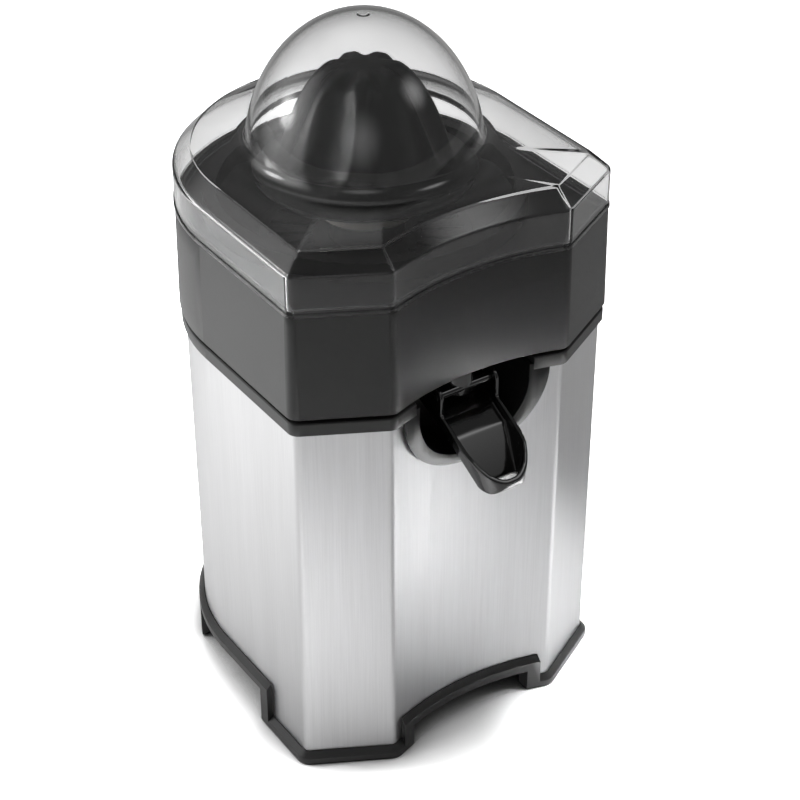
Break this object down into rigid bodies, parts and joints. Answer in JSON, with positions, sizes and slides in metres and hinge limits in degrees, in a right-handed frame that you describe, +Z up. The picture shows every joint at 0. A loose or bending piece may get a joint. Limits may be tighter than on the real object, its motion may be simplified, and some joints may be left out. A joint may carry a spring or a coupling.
{
  "type": "citrus press juicer",
  "caption": "Upright citrus press with a brushed steel body, black juice collector with flip-up spout, ribbed reamer under a clear domed cover, and a press-start geared motor.",
  "frame": {"origin": "middle of the box around the object, on the floor it stands on", "axes": "+Z up along the reamer axis, -Y towards the spout, +X to the right of someone facing the spout"},
  "size_m": [0.1674, 0.1994, 0.3289],
  "materials": {
    "base_black": "satin moulded plastic",
    "steel": "vertically brushed",
    "trim_black": "satin moulded plastic",
    "collector_black": "satin moulded plastic",
    "spout_black": "glossy moulded plastic",
    "basket_black": "satin moulded plastic",
    "reamer_black": "semi-gloss moulded plastic",
    "clear_cover": "clear moulded plastic",
    "foot_rubber": "matt",
    "seal_rubber": "matt",
    "bush_bronze": "sintered",
    "hard_steel": "ground",
    "zinc_screws": "zinc plated",
    "natural_plastic": "moulded, natural colour",
    "grey_plastic": "moulded",
    "lamination": "stacked sheet",
    "copper_wire": "enamelled wire",
    "bracket_metal": "pressed"
  },
  "bodies": {
    "base": {"base_frame": "base_black", "rubber_feet": "foot_rubber", "cord_grommet": "seal_rubber", "base_screws": "zinc_screws", "steel_front": "steel", "steel_wrap": "steel", "upper_trim": "trim_black", "spout_surround": "trim_black", "shaft_bush_upper": "bush_bronze", "shaft_seal": "seal_rubber", "motor_chassis": "grey_plastic", "chassis_screws": "zinc_screws", "gear_cover": "grey_plastic", "gear_cover_screws": "zinc_screws", "shaft_bush_lower": "bush_bronze", "idler_pin": "hard_steel", "stator_core": "lamination", "stator_coils": "copper_wire", "motor_bracket_upper": "bracket_metal", "motor_bracket_lower": "bracket_metal", "rotor_bushes": "bush_bronze", "motor_screws": "zinc_screws", "switch_body": "grey_plastic", "switch_screws": "zinc_screws", "switch_pin": "hard_steel", "terminal_block": "natural_plastic", "return_spring": "hard_steel"},
    "collector": {"juice_collector": "collector_black", "juice_nozzle": "spout_black"},
    "spout": {"spout": "spout_black"},
    "basket": {"filter_basket": "basket_black", "strainer_plate": "basket_black"},
    "pulp_ring": {"pulp_ring": "basket_black"},
    "collar": {"reamer_collar": "natural_plastic"},
    "reamer": {"reamer": "reamer_black"},
    "cover": {"dust_cover": "clear_cover"},
    "press": {"thrust_cap": "natural_plastic"},
    "drive": {"drive_shaft": "hard_steel", "output_gear": "natural_plastic", "shaft_clip": "hard_steel"},
    "idler": {"idler_gear": "natural_plastic"},
    "rotor": {"rotor_core": "lamination", "rotor_shaft": "hard_steel", "motor_pinion": "hard_steel", "motor_fan": "grey_plastic"},
    "lever": {"switch_lever": "hard_steel"}
  },
  "joints": [
    {"name": "collector_lift", "type": "slide", "parent": "base", "child": "collector", "axis": [0, 0, 1], "range_m": [0, 0.12]},
    {"name": "spout_flip", "type": "hinge", "parent": "collector", "child": "spout", "pos_m": [0, -0.06225, 0.1843], "axis": [-1, 0, 0], "range_deg": [0, 55]},
    {"name": "basket_lift", "type": "slide", "parent": "collector", "child": "basket", "axis": [0, 0, 1], "range_m": [0, 0.1]},
    {"name": "pulp_turn", "type": "hinge", "parent": "basket", "child": "pulp_ring", "pos_m": [0, 0.01325, 0.22], "axis": [0, 0, 1], "range_deg": [0, 7.5]},
    {"name": "cover_lift", "type": "slide", "parent": "basket", "child": "cover", "axis": [0, 0, 1], "range_m": [0, 0.14]},
    {"name": "collar_press", "type": "slide", "parent": "basket", "child": "collar", "axis": [0, 0, 1], "range_m": [-0.003, 0]},
    {"name": "reamer_spin", "type": "hinge", "parent": "collar", "child": "reamer", "pos_m": [0, 0.01325, 0.27], "axis": [0, 0, 1], "continuous": true},
    {"name": "shaft_press", "type": "slide", "parent": "base", "child": "press", "axis": [0, 0, 1], "range_m": [-0.003, 0], "stiffness_N_per_m": 3000, "springref_m": 0.003, "deforming": ["return_spring"]},
    {"name": "shaft_spin", "type": "hinge", "parent": "press", "child": "drive", "pos_m": [0, 0.01325, 0.2], "axis": [0, 0, 1], "continuous": true},
    {"name": "idler_spin", "type": "hinge", "parent": "base", "child": "idler", "pos_m": [-0.02598, 0.02825, 0.11], "axis": [0, 0, 1], "continuous": true},
    {"name": "rotor_spin", "type": "hinge", "parent": "base", "child": "rotor", "pos_m": [0, 0.04325, 0.061], "axis": [0, 0, 1], "continuous": true},
    {"name": "lever_turn", "type": "hinge", "parent": "base", "child": "lever", "pos_m": [0, -0.01225, 0.0913], "axis": [-1, 0, 0], "range_deg": [0, 14.4]}
  ],
  "couplings": [
    {"joint": "shaft_spin", "follows": "reamer_spin", "ratio": 1},
    {"joint": "idler_spin", "follows": "reamer_spin", "ratio": -4},
    {"joint": "rotor_spin", "follows": "reamer_spin", "ratio": 16},
    {"joint": "collar_press", "follows": "shaft_press", "ratio": 1},
    {"joint": "lever_turn", "follows": "shaft_press", "rad_per_m": -83.333}
  ]
}
